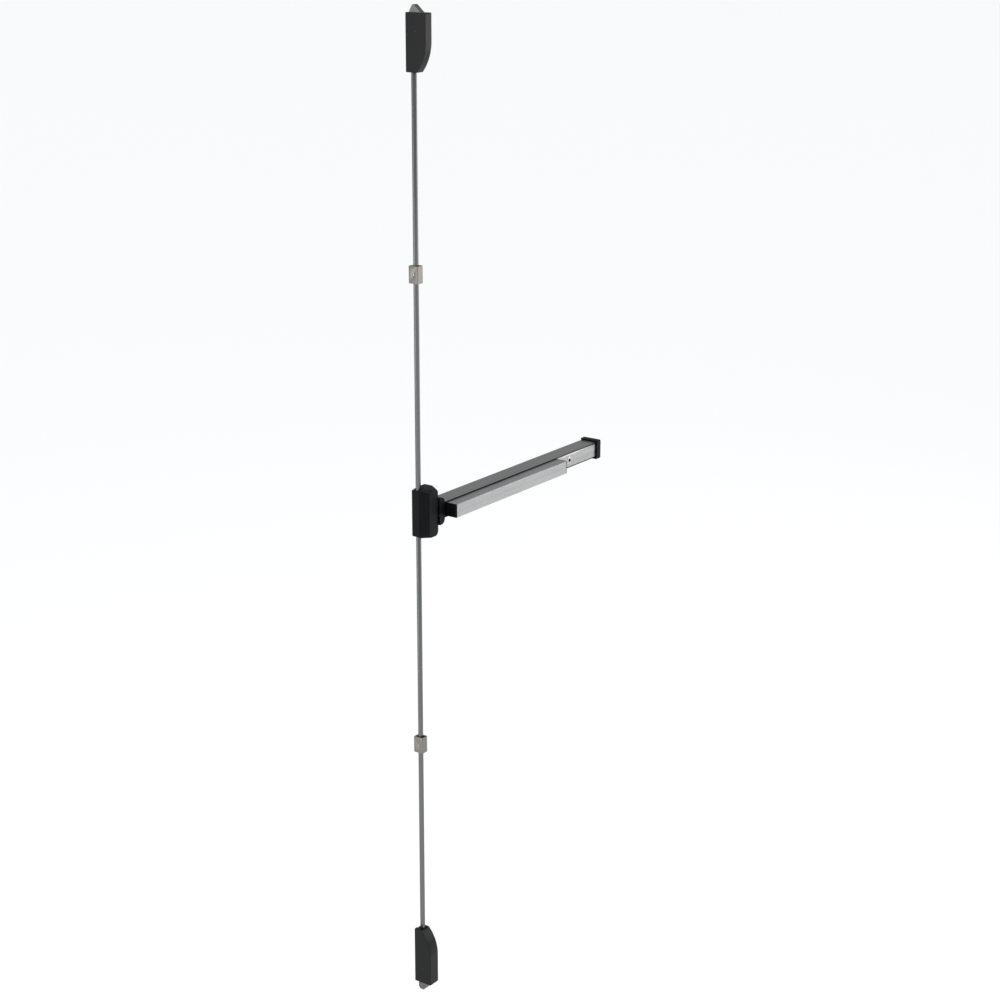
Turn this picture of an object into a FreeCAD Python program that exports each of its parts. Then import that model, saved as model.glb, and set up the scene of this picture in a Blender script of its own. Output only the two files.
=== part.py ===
import FreeCAD, Part
import math
import os
import Sketcher

# A panic exit device for a door, of the surface vertical rod kind. A push pad slides into a long channel
# across the door. Two bell cranks under the pad pull a drawbar along the channel, two levers in the centre
# case turn that pull into a vertical one, and a rod going up and a rod going down draw in the bolts of a
# top and a bottom latch.
#
# Frame: X runs along the bar, away from the rods; Y runs into the door; Z is up. The origin is on the
# door's face, on the rods' line, at the height of the bar's centreline. A "depth" is a distance from the
# door's face, towards -Y.

SIZES = {
    # overall: from the bar's centreline to the latches' outer ends, and from the rods to the channel's end
    "top_reach": 1178, "bottom_reach": 1260, "bar_reach": 733,
    # clearances and sheet metal that many pieces share
    "running_gap": 0.05, "free_gap": 0.3, "plate": 2.5, "mount_hole_dia": 5.5, "pin_dia": 5,
    "slot_gap": 0.3,
    # rods, their threaded ends and nuts
    "rod_dia": 12.7, "rod_stand_off": 7.15, "thread_dia": 8, "thread_length": 14, "nut_height": 6.5,
    "nut_over": 0.3, "connector_length": 30, "connector_over": 1.3, "carrier_height": 24,
    # what the pad does to the bolts
    "pad_travel": 16, "bolt_throw": 18,
    # top latch
    "top_width": 24.5, "top_depth": 56, "top_height": 133, "top_straight": 62, "top_tail_room": 10.15,
    "top_bolt_width": 16, "top_bolt_back": 8, "top_bolt_front": 39, "top_bolt_projection": 17.5,
    # bottom latch
    "bottom_width": 33, "bottom_depth": 50, "bottom_height": 149, "bottom_straight": 80,
    "bottom_tail_room": 1.15, "bottom_bolt_width": 22, "bottom_bolt_back": 7.5, "bottom_bolt_front": 28,
    "bottom_bolt_projection": 22,
    # both latches
    "latch_wall": 1.3, "latch_corner": 2.4, "latch_round": 1.6, "bolt_body": 35, "stem_dia": 10,
    "seat_place": 74, "seat_thickness": 3, "nut_place": 116.5, "spring_wire": 1.4,
    "bolt_spring_radius": 6.6, "cover_screw_place": 41, "cover_screw_depth": 25, "ear_thickness": 1.6,
    "screw_dia": 4, "screw_head_dia": 6.4, "key_flats": 2.5, "latch_hole_spacing": 60,
    "latch_hole_place": 33,
    # rod guides
    "upper_guide_reach": 582, "lower_guide_reach": 601, "guide_side": 3.9, "guide_front": 6.65,
    "guide_height": 41.7, "guide_wall": 2, "bushing_recess": 1.5, "guide_hole_spacing": 26,
    "guide_hole_dia": 4.5, "guide_screw_length": 3.2,
    # centre case: straight sides near the door, then tapering to a smaller rounded front
    "case_reach": 48.2, "case_side_gap": 0.55, "case_height": 123, "case_corner": 7, "case_straight_room": 1.15,
    "case_depth": 45, "case_front_width": 36, "case_front_height": 119, "case_front_corner": 13,
    "case_wall": 1.3, "neck_start": 38.5, "neck_end": 59, "neck_half_height": 34, "neck_corner": 13.5,
    "neck_wall": 1.4,
    # levers in the centre case
    "lever_place": 30, "lever_draw_arm": 14, "lever_depth": 3.2, "lever_thickness": 3, "hub_dia": 12,
    "pivot_dia": 6, "arm_wall": 1.9, "case_hole_x": 26, "case_hole_spacing_x": 28,
    "case_hole_spacing_z": 102, "case_screw_x": 30, "case_screw_depth": 12,
    # channel
    "channel_start": 49, "channel_height": 40.4, "channel_depth": 47.3, "channel_wall": 2,
    "channel_back": 2.5, "lip_depth": 2.3, "bar_hole_inset": 45, "bar_hole_spacing": 20,
    "bar_hole_near": 80,
    # push pad
    "pad_start": 66, "pad_end": 544, "pad_height": 34, "pad_front": 78.8, "pad_back": 40, "pad_skin": 1.8,
    "pad_side_gap": 0.6, "pad_cap": 2.5, "pad_cap_plug": 8, "pad_round": 1.5,
    # bell cranks under the pad
    "crank_lock_x": 150, "crank_hinge_x": 450, "crank_depth": 31, "pad_arm": 26, "draw_arm": 18,
    "crank_thickness": 6, "leg_inner": 3.5, "leg_thickness": 3, "leg_half_length": 7, "cheek_inner": 10,
    "cheek_half_length": 9, "bracket_half_length": 16, "web_depth": 2.6,
    # drawbar and its return spring
    "strip_half_width": 3.5, "head_start": 12.2, "head_length": 10, "head_depth": 6.8,
    "head_half_height": 21, "tab_x": 260, "tab_thickness": 3, "spring_x": 315, "spring_z": 7,
    "main_spring_radius": 4.2, "guide_rod_dia": 5,
    # dogging: a hex key screw behind the cover plate turns a hook that holds the drawbar drawn
    "dog_inset": 60, "dog_plate_depth": 31, "dog_plate": 3, "dog_half_length": 10, "dog_shaft_dia": 8,
    "dog_shaft_end": 19, "dog_head_dia": 11, "dog_head_near": 36, "dog_head_far": 43.5,
    "dog_key_flats": 5, "hook_width": 5, "hook_thickness": 4, "nose": 3, "nose_gap": 1,
    "catch_inset": 5.5, "key_hole_dia": 8.5, "bushing_flange_dia": 18, "bushing_flange": 0.8,
    # cover plate and the hinge side end
    "cover_gap": 1.5, "cover_plate": 2.2, "cover_leg": 11, "cover_side_gap": 0.3,
    "end_bracket_length": 28, "end_inset": 4, "end_screw_near": 14, "end_screw_far": 34, "cap_length": 14,
    "cap_height": 51.5, "cap_depth": 52.4, "cap_face": 4.4, "cap_round": 4, "cap_wall": 5.5,
    "cap_boss_dia": 8,
}

doc = FreeCAD.newDocument("panic_exit_bar")
sheet = doc.addObject("Spreadsheet::Sheet", "dims")
for row, (alias, amount) in enumerate(SIZES.items(), start=1):
    sheet.set(f"A{row}", alias)
    sheet.set(f"B{row}", str(amount))
    sheet.setAlias(f"B{row}", alias)
doc.recompute()

SUBPARTS = []


class Size:
    """A length in the sheet's own names, written with + - * /, that follows its cells when they change."""

    def __init__(self, text):
        self.text = str(text)

    def join(self, sign, other, swapped=False):
        pair = (self.text, words(other))
        left, right = reversed(pair) if swapped else pair
        return Size(f"({left} {sign} {right})")

    def __add__(self, other):
        return self.join("+", other)

    def __sub__(self, other):
        return self.join("-", other)

    def __mul__(self, other):
        return self.join("*", other)

    def __truediv__(self, other):
        return self.join("/", other)

    def __radd__(self, other):
        return self.join("+", other, True)

    def __rsub__(self, other):
        return self.join("-", other, True)

    def __rmul__(self, other):
        return self.join("*", other, True)

    def __neg__(self):
        return Size(f"(-1 * {self.text})")


def words(size):
    return size.text if isinstance(size, Size) else str(size)


def root(size):
    return Size(f"sqrt({words(size)})")


def angle_of(rise, run):
    return Size(f"atan({words(rise)} / {words(run)})")


def number(size):
    """What a size is worth now."""
    amount = sheet.evalExpression(words(size))
    return float(getattr(amount, "Value", amount))


def tie(thing, path, size):
    thing.setExpression(path, words(size))


class Sheet:
    """Gives each cell of the sheet as a Size: d.rod_dia."""

    def __getattr__(self, alias):
        if alias not in SIZES:
            raise AttributeError(alias)
        return Size(f"dims.{alias}")


d = Sheet()


def deep(near, far):
    """The Y range between two depths."""
    return (-far, -near) if isinstance(far, Size) else (Size(-far), -near)


def about(centre, half):
    return (centre - half, centre + half)


# ---- plain solids ----------------------------------------------------------------------------------------


def block(name, x, y, z):
    """A rectangular block between two values on each axis."""
    solid = doc.addObject("Part::Box", name)
    for prop, axis, (low, high) in zip(("Length", "Width", "Height"), "xyz", (x, y, z)):
        tie(solid, f"Placement.Base.{axis}", low)
        tie(solid, prop, Size(words(high)) - low)
    return solid


TURNS = {
    "x": (FreeCAD.Vector(0, 1, 0), 90),
    "y": (FreeCAD.Vector(1, 0, 0), -90),
    "z": (FreeCAD.Vector(0, 0, 1), 0),
}


def lay(solid, axis, centre, span):
    """Turns a solid that stands along Z onto an axis. centre gives its two other coordinates in order."""
    turn, degrees = TURNS[axis]
    solid.Placement = FreeCAD.Placement(FreeCAD.Vector(), FreeCAD.Rotation(turn, degrees))
    places = list(centre)
    places.insert("xyz".index(axis), span[0])
    for letter, place in zip("xyz", places):
        tie(solid, f"Placement.Base.{letter}", place)
    tie(solid, "Height", Size(words(span[1])) - span[0])
    return solid


def round_bar(name, axis, centre, diameter, span):
    solid = doc.addObject("Part::Cylinder", name)
    tie(solid, "Radius", Size(words(diameter)) / 2)
    return lay(solid, axis, centre, span)


def hex_bar(name, axis, centre, flats, span):
    """A hexagonal bar, two of whose flats face along X when it stands along Z."""
    solid = doc.addObject("Part::Prism", name)
    solid.Polygon = 6
    tie(solid, "Circumradius", Size(words(flats)) / math.sqrt(3))
    lay(solid, axis, centre, span)
    if axis == "z":
        solid.Placement.Rotation = FreeCAD.Rotation(FreeCAD.Vector(0, 0, 1), 30)
    return solid


def joined(name, solids):
    fused = doc.addObject("Part::MultiFuse", name)
    fused.Shapes = solids
    fused.Refine = True
    return fused


def grouped(name, solids):
    """Separate solids that share one node, such as a set of screws."""
    group = doc.addObject("Part::Compound", name)
    group.Links = solids
    return group


def cut(name, base, tools):
    whole = doc.addObject("Part::Cut", name)
    whole.Base = base
    whole.Tool = tools[0] if len(tools) == 1 else grouped(f"{name}_tools", tools)
    whole.Refine = True
    return whole


def subpart(thing, label):
    """Marks a finished sub-part: its label names its file."""
    thing.Label = label
    SUBPARTS.append(thing)
    return thing


# ---- sketched bodies -------------------------------------------------------------------------------------


class Arc:
    """Written between two corners of an outline: a round stretch of this radius between them. Its turn is 1
    against the clock and -1 with it. A half circle is held by its centre's place instead of its radius."""

    def __init__(self, radius, turn=1, centre=None):
        self.radius = radius
        self.turn = turn
        self.centre = centre


class Ring:
    """A circle in a sketch."""

    def __init__(self, u, v, diameter):
        self.u, self.v, self.diameter = u, v, diameter


def rectangle(u, v):
    return [(u[0], v[0]), (u[1], v[0]), (u[1], v[1]), (u[0], v[1])]


def rounded(u, v, radius):
    """A rectangle with round corners."""
    (left, right), (low, high) = u, v
    bend = Arc(radius)
    return [
        (left + radius, low), (right - radius, low), bend, (right, low + radius), (right, high - radius), bend,
        (right - radius, high), (left + radius, high), bend, (left, high - radius), (left, low + radius), bend,
    ]


def slot(along, across, half):
    """A round-ended slot about a line; along is its centres' range in u, across the line's v."""
    return [(along[0], across - half), (along[1], across - half), Arc(half, 1, ("DistanceX", along[1])),
            (along[1], across + half), (along[0], across + half), Arc(half, 1, ("DistanceX", along[0]))]


def upright_slot(across, along, half):
    """A round-ended slot whose centres' range is in v."""
    return [(across + half, along[0]), (across + half, along[1]), Arc(half, 1, ("DistanceY", along[1])),
            (across - half, along[1]), (across - half, along[0]), Arc(half, 1, ("DistanceY", along[0]))]


def place_point(drawing, geometry, end, u, v):
    for kind, size in (("DistanceX", u), ("DistanceY", v)):
        index = drawing.addConstraint(Sketcher.Constraint(kind, -1, 1, geometry, end, number(size)))
        tie(drawing, f"Constraints[{index}]", size)


def draw_ring(drawing, ring):
    centre = FreeCAD.Vector(number(ring.u), number(ring.v), 0)
    circle = Part.Circle(centre, FreeCAD.Vector(0, 0, 1), number(ring.diameter) / 2)
    geometry = drawing.addGeometry(circle, False)
    place_point(drawing, geometry, 3, ring.u, ring.v)
    index = drawing.addConstraint(Sketcher.Constraint("Diameter", geometry, number(ring.diameter)))
    tie(drawing, f"Constraints[{index}]", ring.diameter)


def arc_between(start, end, radius, turn):
    """The short arc from start to end, as FreeCAD keeps it: always against the clock."""
    if turn < 0:
        start, end = end, start
    middle, chord = (start + end) / 2, end - start
    rise = math.sqrt(max(radius ** 2 - (chord.Length / 2) ** 2, 0))
    centre = middle + FreeCAD.Vector(-chord.y, chord.x, 0).normalize() * rise
    first, last = start - centre, end - centre
    circle = Part.Circle(centre, FreeCAD.Vector(0, 0, 1), radius)
    return Part.ArcOfCircle(circle, math.atan2(first.y, first.x), math.atan2(last.y, last.x))


def draw_loop(drawing, outline):
    corners = [item for item in outline if not isinstance(item, Arc)]
    bends = {}
    for index, item in enumerate(outline):
        if isinstance(item, Arc):
            bends[sum(not isinstance(one, Arc) for one in outline[:index]) - 1] = item
    spots = [FreeCAD.Vector(number(u), number(v), 0) for u, v in corners]
    edges = []
    for index, spot in enumerate(spots):
        following = spots[(index + 1) % len(spots)]
        bend = bends.get(index)
        if bend is None:
            geometry = drawing.addGeometry(Part.LineSegment(spot, following), False)
        else:
            geometry = drawing.addGeometry(arc_between(spot, following, number(bend.radius), bend.turn), False)
        edges.append((geometry, (2, 1) if bend is not None and bend.turn < 0 else (1, 2)))
    for index, (geometry, ends) in enumerate(edges):
        next_geometry, next_ends = edges[(index + 1) % len(edges)]
        drawing.addConstraint(Sketcher.Constraint("Coincident", geometry, ends[1], next_geometry, next_ends[0]))
    for index, (geometry, ends) in enumerate(edges):
        place_point(drawing, geometry, ends[0], *corners[index])
        bend = bends.get(index)
        if bend is not None and bend.centre:
            kind, size = bend.centre
            place = drawing.addConstraint(Sketcher.Constraint(kind, -1, 1, geometry, 3, number(size)))
            tie(drawing, f"Constraints[{place}]", size)
        elif bend is not None:
            place = drawing.addConstraint(Sketcher.Constraint("Radius", geometry, number(bend.radius)))
            tie(drawing, f"Constraints[{place}]", bend.radius)


class Blank:
    """A sub-part made as a body. Sketches lie parallel to its origin planes: XY looks down from +Z, XZ looks in
    from the front with depth as its level, YZ looks in from +X."""

    def __init__(self, name):
        self.body = doc.addObject("PartDesign::Body", name)
        self.steps = 0

    def name(self, what):
        self.steps += 1
        return f"{self.body.Name}_{what}{self.steps}"

    def sketch(self, plane, level, loops):
        drawing = self.body.newObject("Sketcher::SketchObject", self.name("sketch"))
        features = self.body.Origin.OriginFeatures
        origin_plane = next(one for one in features if one.Role == f"{plane}_Plane")
        drawing.AttachmentSupport = [(origin_plane, "")]
        drawing.MapMode = "FlatFace"
        tie(drawing, "AttachmentOffset.Base.z", level)
        for loop in loops:
            if isinstance(loop, Ring):
                draw_ring(drawing, loop)
            else:
                draw_loop(drawing, loop)
        return drawing

    def pad(self, plane, span, *loops):
        """Adds material between two levels."""
        feature = self.body.newObject("PartDesign::Pad", self.name("pad"))
        feature.Profile = self.sketch(plane, span[0], loops)
        tie(feature, "Length", Size(words(span[1])) - span[0])
        return self.settle(feature, 1)

    def pocket(self, plane, span, *loops):
        """Removes material between two levels."""
        feature = self.body.newObject("PartDesign::Pocket", self.name("pocket"))
        feature.Profile = self.sketch(plane, span[0], loops)
        feature.Reversed = True
        tie(feature, "Length", Size(words(span[1])) - span[0])
        return self.settle(feature, -1)

    def loft(self, plane, levels, outlines, adds=True):
        kind = "AdditiveLoft" if adds else "SubtractiveLoft"
        drawings = [self.sketch(plane, level, [outline]) for level, outline in zip(levels, outlines)]
        feature = self.body.newObject(f"PartDesign::{kind}", self.name("loft"))
        feature.Profile = drawings[0]
        feature.Sections = drawings[1:]
        feature.Ruled = True
        return self.settle(feature, 1 if adds else -1)

    def settle(self, feature, sign):
        """Works the feature out and checks that it added or removed material, as it should."""
        before = self.volume if self.steps > 2 and hasattr(self, "volume") else 0
        doc.recompute()
        self.volume = self.body.Shape.Volume
        if (self.volume - before) * sign <= 0:
            raise RuntimeError(f"{feature.Name} does nothing")
        self.body.Tip = feature
        return self

    def round(self, radius, wanted):
        """Rounds the edges that a test picks."""
        tip = self.body.Tip
        names = [f"Edge{index}" for index, edge in enumerate(tip.Shape.Edges, start=1) if wanted(edge)]
        feature = self.body.newObject("PartDesign::Fillet", self.name("round"))
        feature.Base = (tip, names)
        tie(feature, "Radius", radius)
        doc.recompute()
        self.body.Tip = feature
        self.volume = self.body.Shape.Volume
        return self

    def done(self):
        return subpart(self.body, self.body.Name)


def flat_on(axis, place):
    """Picks edges that lie wholly at one place on an axis."""
    def wanted(edge):
        box = edge.BoundBox
        low, high = {"x": (box.XMin, box.XMax), "y": (box.YMin, box.YMax), "z": (box.ZMin, box.ZMax)}[axis]
        return abs(low - number(place)) < 1e-3 and abs(high - number(place)) < 1e-3
    return wanted


# ---- sizes that follow from others -----------------------------------------------------------------------

rod_radius = d.rod_dia / 2
rod_depth = rod_radius + d.rod_stand_off
rod_y = -rod_depth
nut_flats = d.rod_dia + d.nut_over
connector_flats = d.rod_dia + d.connector_over
guide_width = d.rod_dia + d.guide_side * 2
guide_depth = rod_depth + rod_radius + d.guide_front
pad_half = d.pad_height / 2
channel_half = d.channel_height / 2
channel_inner = channel_half - d.channel_wall
mouth_half = pad_half + d.pad_side_gap
draw_travel = d.pad_travel * d.draw_arm / d.pad_arm
lever_rod_arm = d.lever_draw_arm * d.bolt_throw / draw_travel
pin_slot_half = d.pin_dia / 2 + d.slot_gap
crank_swing = angle_of(d.pad_travel / 2, d.pad_arm)
lever_swing = angle_of(draw_travel / 2, d.lever_draw_arm)
drawbar_depth = d.crank_depth - d.draw_arm
dog_x = d.pad_end + d.dog_inset
catch_x = dog_x + d.catch_inset
case_half = d.case_height / 2
case_straight = rod_depth + rod_radius + d.case_straight_room
case_left = -(rod_radius + d.case_side_gap + d.case_wall)
case_right = d.case_reach
case_centre = (case_left + case_right) / 2
case_width = case_right - case_left


# ---- latches ---------------------------------------------------------------------------------------------
# Each latch has a formed steel frame on the door, a bolt that slides in a window of the frame's end flange,
# a spring between the bolt's shoulder and a seat that is bent out of the frame, and a black cover held by
# two side screws.


class LatchPlace:
    """Measures from a latch's outer end towards the bar, for the top latch and for the bottom one."""

    def __init__(self, reach, sign):
        self.reach, self.sign = reach, sign

    def at(self, inward):
        """The height of a point this far in from the latch's outer end; outside it when negative."""
        distance = self.reach - inward
        return distance if self.sign > 0 else -distance

    def between(self, outer, inner):
        heights = (self.at(inner), self.at(outer))
        return heights if self.sign > 0 else (heights[1], heights[0])

    def corner(self, depth, inward):
        """A corner of a side outline, in the YZ sketch plane."""
        return (-Size(words(depth)), self.at(inward))


def latch_outline(place, back, depth, outer, straight, tail, inner, radius):
    """The side view of a latch cover: straight front, then one arc that brings it nearer the door."""
    outer_side = [place.corner(depth, straight), place.corner(depth, outer), place.corner(back, outer)]
    inner_side = [place.corner(back, inner), place.corner(tail, inner)]
    if place.sign > 0:
        return [outer_side[2], *inner_side, Arc(radius, -1), *outer_side[:2]]
    return [*reversed(outer_side), Arc(radius, -1), *reversed(inner_side)]


def make_latch(end, sign, bolt_outline):
    """end is top or bottom; the cells with that word in front of them give the latch's own sizes."""
    def own(word):
        return getattr(d, f"{end}_{word}")

    place = LatchPlace(own("reach"), sign)
    half = own("width") / 2
    inside = half - d.latch_wall
    run = own("height") - own("straight")
    tail = rod_depth + rod_radius + own("tail_room")
    drop = own("depth") - tail
    radius = (run * run + drop * drop) / (drop * 2)
    inner_radius = radius - d.latch_wall
    inner_run = run - d.latch_wall
    inner_tail = own("depth") - radius + root(inner_radius * inner_radius - inner_run * inner_run)
    bolt_half = own("bolt_width") / 2
    frame_half = inside - d.free_gap
    window = d.free_gap

    # the cover: a moulded shell, open to the door
    shell = Blank(f"{end}_latch_cover")
    shell.pad("YZ", (-half, half), latch_outline(place, Size(0), own("depth"), Size(0), own("straight"),
                                                 tail, own("height"), radius))
    seam = flat_on("z", place.at(own("straight")))
    shell.round(d.latch_corner, lambda edge: edge.BoundBox.XLength > 1 and edge.BoundBox.YMin < -1
                and not seam(edge))
    shell.round(d.latch_round, lambda edge: edge_on_side(edge, half) and edge.BoundBox.YMin < -1)
    shell.pocket("YZ", (-inside, inside), latch_outline(
        place, Size(-1), own("depth") - d.latch_wall, d.latch_wall, own("straight"), inner_tail,
        own("height") - d.latch_wall, inner_radius))
    shell.pocket("XY", place.between(Size(-1), d.latch_wall + 1), rectangle(
        (-bolt_half - window, bolt_half + window), deep(own("bolt_back") - window, own("bolt_front") + window)))
    notch = connector_flats / 2 + d.free_gap
    notch_front = rod_depth + connector_flats / math.sqrt(3) + d.free_gap
    shell.pocket("XY", place.between(own("height") - d.latch_wall - 1, own("height") + 1), rectangle(
        (-notch, notch), deep(Size(-1), notch_front)))
    shell.pocket("YZ", (-half - 1, half + 1), Ring(
        -d.cover_screw_depth, place.at(d.cover_screw_place), d.screw_head_dia + d.running_gap * 2))
    shell.done()

    # the frame: back plate, end flange with the bolt's window, spring seat, and two ears for the cover's screws
    frame = Blank(f"{end}_latch_frame")
    frame.pad("XZ", (Size(0), d.plate), rectangle((-frame_half, frame_half), place.between(
        d.latch_wall + d.free_gap, own("height") - d.latch_wall - d.free_gap)))
    flange_outer = d.latch_wall + d.free_gap
    frame.pad("XY", place.between(flange_outer, flange_outer + d.plate), rectangle(
        (-frame_half, frame_half), deep(Size(0), own("bolt_front") + d.plate)))
    frame.pocket("XY", place.between(flange_outer - 1, flange_outer + d.plate + 1), rectangle(
        (-bolt_half - d.running_gap, bolt_half + d.running_gap),
        deep(own("bolt_back") - d.running_gap, own("bolt_front") + d.running_gap)))
    seat_front = rod_depth + d.bolt_spring_radius + d.spring_wire + 1
    frame.pad("XY", place.between(d.seat_place, d.seat_place + d.seat_thickness), rectangle(
        (-frame_half + d.free_gap, frame_half - d.free_gap), deep(Size(0), seat_front)))
    frame.pocket("XY", place.between(d.seat_place - 1, d.seat_place + d.seat_thickness + 1),
                 Ring(Size(0), rod_y, d.stem_dia + d.running_gap * 2))
    ear_top, ear_low = place.between(d.cover_screw_place - 6, d.cover_screw_place + 6)
    ear_shape = rectangle(deep(Size(0), d.cover_screw_depth + 6), (ear_top, ear_low))
    frame.pad("YZ", (-frame_half, -frame_half + d.ear_thickness), ear_shape)
    frame.pad("YZ", (frame_half - d.ear_thickness, frame_half), ear_shape)
    frame.pocket("YZ", (-half - 1, half + 1), Ring(
        -d.cover_screw_depth, place.at(d.cover_screw_place), d.screw_dia + d.running_gap * 2))
    hole_x = frame_half - d.mount_hole_dia / 2 - 2
    hole_rings = [
        Ring(side * hole_x, place.at(d.latch_hole_place + step * d.latch_hole_spacing), d.mount_hole_dia)
        for side in (-1, 1) for step in (0, 1)]
    frame.pocket("XZ", (Size(-1), d.plate + 1), *hole_rings)
    frame.done()

    # the bolt: its head in the window, and a round stem with a threaded end for the rod's connector
    head = Blank(f"{end}_bolt")
    head.pad("YZ", (-bolt_half, bolt_half), bolt_outline(place))
    stem_end = d.nut_place - d.connector_length - 3
    thread_end = d.nut_place - d.connector_length / 2 - 1
    head.pad("XY", place.between(d.bolt_body, stem_end), Ring(Size(0), rod_y, d.stem_dia))
    head.pad("XY", place.between(stem_end, thread_end), Ring(Size(0), rod_y, d.thread_dia))
    head.done()

    coil(f"{end}_bolt_spring", "z", (Size(0), rod_y), d.bolt_spring_radius,
         place.between(d.bolt_body, d.seat_place), turns=6)

    connector_span = place.between(d.nut_place - d.connector_length, d.nut_place)
    subpart(cut(f"{end}_connector",
                hex_bar(f"{end}_connector_bar", "z", (Size(0), rod_y), connector_flats, connector_span),
                [round_bar(f"{end}_connector_bore", "z", (Size(0), rod_y), d.thread_dia, connector_span)]),
            f"{end}_connector")

    screw_centre = (-d.cover_screw_depth, place.at(d.cover_screw_place))
    screws = [flush_screw(f"{end}_cover_screw_{side}", "x", screw_centre, half, d.latch_wall,
                          frame_half - d.ear_thickness, side) for side in (-1, 1)]
    subpart(grouped(f"{end}_cover_screws", screws), f"{end}_cover_screws")


def edge_on_side(edge, half):
    box = edge.BoundBox
    return box.XMax - box.XMin < 1e-3 and abs(abs(box.XMax) - number(half)) < 1e-3


def flush_screw(name, axis, centre, face, head_height, tip, side):
    """A socket screw from a face inwards, its head let into it. side is 1 when the face looks along +axis."""
    def span(outer, inner):
        return (inner, outer) if side > 0 else (-outer, -inner)

    head = round_bar(f"{name}_head", axis, centre, d.screw_head_dia, span(face, face - head_height))
    shank = round_bar(f"{name}_shank", axis, centre, d.screw_dia, span(face - head_height, tip))
    socket = hex_bar(f"{name}_socket", axis, centre, d.key_flats, span(face + 1, face - head_height * 0.8))
    return cut(name, joined(f"{name}_blank", [head, shank]), [socket])


def coil(name, axis, centre, radius, span, turns):
    """A compression spring between two flat seats."""
    length = Size(words(span[1])) - span[0]
    helix = doc.addObject("Part::Helix", f"{name}_line")
    tie(helix, "Radius", radius)
    tie(helix, "Height", length - d.spring_wire * 1.1)
    tie(helix, "Pitch", (length - d.spring_wire * 1.1) / turns)
    section = doc.addObject("Part::Circle", f"{name}_wire")
    tie(section, "Radius", d.spring_wire / 2)
    section.Placement = FreeCAD.Placement(FreeCAD.Vector(), FreeCAD.Rotation(FreeCAD.Vector(1, 0, 0), 90))
    tie(section, "Placement.Base.x", radius)
    doc.recompute()
    swept = doc.addObject("Part::Sweep", name)
    swept.Sections = [section]
    swept.Spine = (helix, ["Edge1"])
    swept.Solid = True
    swept.Frenet = True
    turn, degrees = TURNS[axis]
    swept.Placement = FreeCAD.Placement(FreeCAD.Vector(), FreeCAD.Rotation(turn, degrees))
    places = list(centre)
    places.insert("xyz".index(axis), Size(words(span[0])) + d.spring_wire * 0.55)
    for letter, spot in zip("xyz", places):
        tie(swept, f"Placement.Base.{letter}", spot)
    return subpart(swept, name)


def top_bolt_outline(place):
    """A wedge: steep on the door side, a long slope to the front, with a narrow ridge."""
    back, front, rise = d.top_bolt_back, d.top_bolt_front, d.top_bolt_projection
    return [place.corner(back, d.bolt_body), place.corner(front, d.bolt_body), place.corner(front, Size(-0.5)),
            place.corner(back + 11.5, -rise), place.corner(back + 8, -rise), place.corner(back, Size(-4))]


def bottom_bolt_outline(place):
    """A square block with a blunt nose."""
    back, front, drop = d.bottom_bolt_back, d.bottom_bolt_front, d.bottom_bolt_projection
    return [place.corner(back, d.bolt_body), place.corner(back, -drop + 6), place.corner(back + 5, -drop),
            place.corner(front - 5, -drop), place.corner(front, -drop + 6), place.corner(front, d.bolt_body)]


make_latch("top", 1, top_bolt_outline)
make_latch("bottom", -1, bottom_bolt_outline)


# ---- rods ------------------------------------------------------------------------------------------------
# Each rod screws into its latch's connector at one end and into a carrier in the centre case at the other,
# with a locknut against each. The carrier's pin rides in a slot of its lever and in an upright slot of the
# base plate.


def make_rod(which, end, sign):
    reach = getattr(d, f"{end}_reach")

    def between(low, high):
        return (low, high) if sign > 0 else (-high, -low)

    centre = (Size(0), rod_y)
    carrier_mid = d.lever_place + d.bolt_throw / 2
    carrier_low, carrier_high = carrier_mid - d.carrier_height / 2, carrier_mid + d.carrier_height / 2
    rod_start = carrier_high + d.nut_height
    rod_end = reach - d.nut_place - d.nut_height
    shaft = round_bar(f"{which}_rod_shaft", "z", centre, d.rod_dia, between(rod_start, rod_end))
    near_thread = round_bar(f"{which}_rod_near_thread", "z", centre, d.thread_dia,
                            between(carrier_high - d.thread_length, rod_start + 1))
    far_thread = round_bar(f"{which}_rod_far_thread", "z", centre, d.thread_dia,
                           between(rod_end - 1, rod_end + d.nut_height + d.thread_length))
    subpart(joined(f"{which}_rod", [shaft, near_thread, far_thread]), f"{which}_rod")

    nuts = []
    nut_spans = (("near", between(carrier_high, rod_start)), ("far", between(rod_end, rod_end + d.nut_height)))
    for word, span in nut_spans:
        nut = hex_bar(f"{which}_{word}_nut_bar", "z", centre, nut_flats, span)
        bore = round_bar(f"{which}_{word}_nut_bore", "z", centre, d.thread_dia, span)
        nuts.append(cut(f"{which}_{word}_nut", nut, [bore]))
    subpart(grouped(f"{which}_locknuts", nuts), f"{which}_locknuts")

    body = block(f"{which}_carrier_block", about(Size(0), rod_radius), about(rod_y, rod_radius),
                 between(carrier_low, carrier_high))
    middle = carrier_mid if sign > 0 else -carrier_mid
    pin = round_bar(f"{which}_carrier_pin", "y", (Size(0), middle), d.pin_dia,
                    deep(d.free_gap, rod_depth - rod_radius + 1))
    bore = round_bar(f"{which}_carrier_bore", "z", centre, d.thread_dia,
                     between(carrier_high - d.thread_length, carrier_high + 1))
    subpart(cut(f"{which}_carrier", joined(f"{which}_carrier_solid", [body, pin]), [bore]), f"{which}_carrier")


make_rod("upper", "top", 1)
make_rod("lower", "bottom", -1)


# ---- rod guides ------------------------------------------------------------------------------------------
# A plate screwed to the door carries a black nylon bushing, and a steel sleeve bent round three sides
# covers both.


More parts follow.
